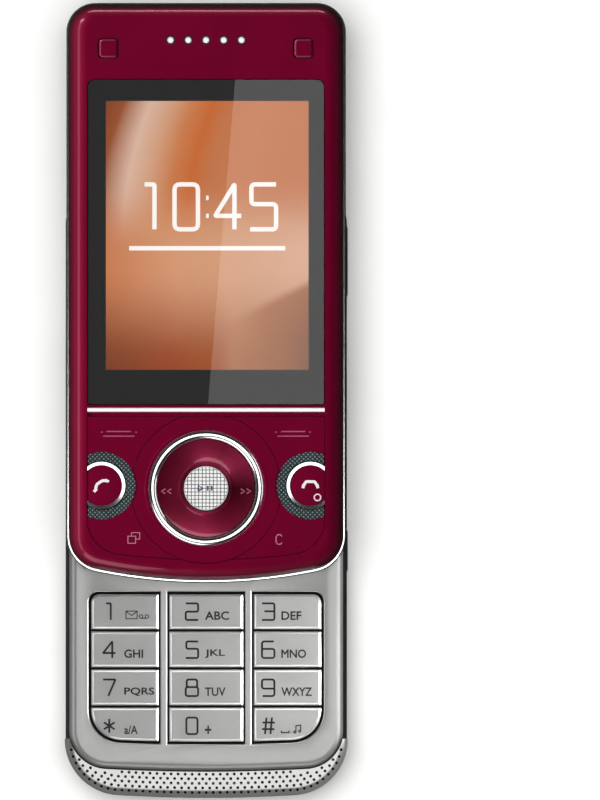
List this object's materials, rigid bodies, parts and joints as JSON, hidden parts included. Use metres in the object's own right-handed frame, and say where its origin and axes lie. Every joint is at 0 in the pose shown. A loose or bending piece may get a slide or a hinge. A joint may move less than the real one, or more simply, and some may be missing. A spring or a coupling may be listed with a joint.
{
  "type": "slider phone",
  "caption": "Slider phone, shown open: a screen half with round navigation keys slides up over a keypad half with a speaker grille in its chin.",
  "frame": {"origin": "middle of the open phone's box, on the surface it lies on", "axes": "+Z out of the screen, +Y towards the earpiece, +X to the right as the user sees it"},
  "size_m": [0.048, 0.1348, 0.015],
  "materials": {
    "red_gloss": "metallic gloss lacquer",
    "silver_satin": "satin silver paint",
    "key_silver": "satin silver paint on plastic",
    "grille_silver": "bright perforated metal",
    "chrome": "polished",
    "dark_frame": "satin dark plastic",
    "back_plastic": "fine ribbed dark plastic",
    "band_black": "soft matt black",
    "spun_metal": "turned",
    "rail_steel": "dark grey steel",
    "steel": "pressed steel",
    "window_glass": "gloss, printed dark border",
    "lens_glass": "dark gloss glass",
    "display": "lit display",
    "select_silver": "fine diamond cut",
    "halo_dark": "fine knurl",
    "board_green": "solder mask",
    "silicone": "translucent",
    "cell_grey": "battery wrap",
    "part_black": "moulded",
    "ribbon_amber": "polyimide film"
  },
  "bodies": {
    "lower_half": {"lower_front_cover": "silver_satin", "keypad_mat": "silicone", "main_board": "board_green", "mid_frame": "dark_frame", "antenna_cover": "silver_satin", "rear_band": "band_black", "band_medallion": "spun_metal", "battery": "cell_grey", "loudspeaker": "part_black", "speaker_grille": "grille_silver", "vibration_motor": "steel", "system_connector": "part_black", "lower_screws": "steel", "slide_base": "steel", "slide_ribbon": "ribbon_amber"},
    "upper_half": {"upper_front_cover": "red_gloss", "upper_chassis": "chrome", "upper_rear_cover": "back_plastic", "slide_rails": "rail_steel", "display_window": "window_glass", "display_module": "display", "display_frame": "steel", "earpiece_grille": "chrome", "earpiece_speaker": "part_black", "key_trim_bar": "chrome", "nav_island": "red_gloss", "nav_chrome_ring": "chrome", "upper_board": "board_green", "camera_module": "part_black", "camera_window": "lens_glass", "upper_screws": "steel"},
    "battery_door": {"battery_cover": "silver_satin", "cover_badge": "spun_metal"},
    "motor_weight": {"motor_weight": "steel"},
    "volume_key": {"volume_key": "dark_frame"},
    "camera_key": {"camera_key": "dark_frame"},
    "power_key": {"power_key": "dark_frame"},
    "left_rocker": {"left_key_plate": "red_gloss", "call_key_halo": "halo_dark"},
    "right_rocker": {"right_key_plate": "red_gloss", "end_key_halo": "halo_dark"},
    "call_key": {"call_key": "red_gloss"},
    "end_key": {"end_key": "red_gloss"},
    "nav_pad": {"nav_rubber": "silicone"},
    "nav_ring": {"nav_ring_key": "red_gloss"},
    "select_key": {"select_key": "select_silver"},
    "game_key_left": {"game_key_left": "red_gloss"},
    "game_key_right": {"game_key_right": "red_gloss"},
    "key_1": {"key_1": "key_silver"},
    "key_2": {"key_2": "key_silver"},
    "key_3": {"key_3": "key_silver"},
    "key_4": {"key_4": "key_silver"},
    "key_5": {"key_5": "key_silver"},
    "key_6": {"key_6": "key_silver"},
    "key_7": {"key_7": "key_silver"},
    "key_8": {"key_8": "key_silver"},
    "key_9": {"key_9": "key_silver"},
    "key_star": {"key_star": "key_silver"},
    "key_0": {"key_0": "key_silver"},
    "key_hash": {"key_hash": "key_silver"}
  },
  "joints": [
    {"name": "slide", "type": "slide", "parent": "lower_half", "child": "upper_half", "axis": [0, 1, 0], "range_m": [-0.0317, 0], "deforming": ["slide_ribbon"]},
    {"name": "battery_cover_slide", "type": "slide", "parent": "lower_half", "child": "battery_door", "axis": [0, -1, 0], "range_m": [0, 0.004]},
    {"name": "motor_spin", "type": "hinge", "parent": "lower_half", "child": "motor_weight", "pos_m": [0.0165, -0.01065, 0.00295], "axis": [1, 0, 0], "continuous": true},
    {"name": "key_1_press", "type": "slide", "parent": "lower_half", "child": "key_1", "axis": [0, 0, -1], "range_m": [0, 0.00025], "stiffness_N_per_m": 1500},
    {"name": "key_2_press", "type": "slide", "parent": "lower_half", "child": "key_2", "axis": [0, 0, -1], "range_m": [0, 0.00025], "stiffness_N_per_m": 1500},
    {"name": "key_3_press", "type": "slide", "parent": "lower_half", "child": "key_3", "axis": [0, 0, -1], "range_m": [0, 0.00025], "stiffness_N_per_m": 1500},
    {"name": "key_4_press", "type": "slide", "parent": "lower_half", "child": "key_4", "axis": [0, 0, -1], "range_m": [0, 0.00025], "stiffness_N_per_m": 1500},
    {"name": "key_5_press", "type": "slide", "parent": "lower_half", "child": "key_5", "axis": [0, 0, -1], "range_m": [0, 0.00025], "stiffness_N_per_m": 1500},
    {"name": "key_6_press", "type": "slide", "parent": "lower_half", "child": "key_6", "axis": [0, 0, -1], "range_m": [0, 0.00025], "stiffness_N_per_m": 1500},
    {"name": "key_7_press", "type": "slide", "parent": "lower_half", "child": "key_7", "axis": [0, 0, -1], "range_m": [0, 0.00025], "stiffness_N_per_m": 1500},
    {"name": "key_8_press", "type": "slide", "parent": "lower_half", "child": "key_8", "axis": [0, 0, -1], "range_m": [0, 0.00025], "stiffness_N_per_m": 1500},
    {"name": "key_9_press", "type": "slide", "parent": "lower_half", "child": "key_9", "axis": [0, 0, -1], "range_m": [0, 0.00025], "stiffness_N_per_m": 1500},
    {"name": "key_star_press", "type": "slide", "parent": "lower_half", "child": "key_star", "axis": [0, 0, -1], "range_m": [0, 0.00025], "stiffness_N_per_m": 1500},
    {"name": "key_0_press", "type": "slide", "parent": "lower_half", "child": "key_0", "axis": [0, 0, -1], "range_m": [0, 0.00025], "stiffness_N_per_m": 1500},
    {"name": "key_hash_press", "type": "slide", "parent": "lower_half", "child": "key_hash", "axis": [0, 0, -1], "range_m": [0, 0.00025], "stiffness_N_per_m": 1500},
    {"name": "camera_key_press", "type": "slide", "parent": "lower_half", "child": "camera_key", "axis": [-1, 0, 0], "range_m": [0, 0.00025], "stiffness_N_per_m": 1500},
    {"name": "power_key_press", "type": "slide", "parent": "lower_half", "child": "power_key", "axis": [0, -1, 0], "range_m": [0, 0.00025], "stiffness_N_per_m": 1500},
    {"name": "call_key_press", "type": "slide", "parent": "upper_half", "child": "call_key", "axis": [0, 0, -1], "range_m": [0, 0.00025], "stiffness_N_per_m": 1500},
    {"name": "end_key_press", "type": "slide", "parent": "upper_half", "child": "end_key", "axis": [0, 0, -1], "range_m": [0, 0.00025], "stiffness_N_per_m": 1500},
    {"name": "select_key_press", "type": "slide", "parent": "upper_half", "child": "select_key", "axis": [0, 0, -1], "range_m": [0, 0.00025], "stiffness_N_per_m": 1500},
    {"name": "game_key_left_press", "type": "slide", "parent": "upper_half", "child": "game_key_left", "axis": [0, 0, -1], "range_m": [0, 0.00025], "stiffness_N_per_m": 1500},
    {"name": "game_key_right_press", "type": "slide", "parent": "upper_half", "child": "game_key_right", "axis": [0, 0, -1], "range_m": [0, 0.00025], "stiffness_N_per_m": 1500},
    {"name": "volume_rock", "type": "hinge", "parent": "lower_half", "child": "volume_key", "pos_m": [0.0225, 0.02365, 0.00405], "axis": [0, 0, 1], "range_deg": [-1.5, 1.5], "stiffness_Nm_per_rad": 0.15},
    {"name": "left_rock", "type": "hinge", "parent": "upper_half", "child": "left_rocker", "pos_m": [-0.014, -0.01435, 0.0139], "axis": [1, 0, 0], "range_deg": [-1.2, 1.2], "stiffness_Nm_per_rad": 0.15},
    {"name": "right_rock", "type": "hinge", "parent": "upper_half", "child": "right_rocker", "pos_m": [0.014, -0.01435, 0.0139], "axis": [1, 0, 0], "range_deg": [-1.2, 1.2], "stiffness_Nm_per_rad": 0.15},
    {"name": "nav_up_down", "type": "hinge", "parent": "upper_half", "child": "nav_pad", "pos_m": [0, -0.0148, 0.0139], "axis": [1, 0, 0], "range_deg": [-1.5, 1.5], "stiffness_Nm_per_rad": 0.15},
    {"name": "nav_left_right", "type": "hinge", "parent": "nav_pad", "child": "nav_ring", "pos_m": [0, -0.0148, 0.0139], "axis": [0, 1, 0], "range_deg": [-1.5, 1.5], "stiffness_Nm_per_rad": 0.15}
  ]
}
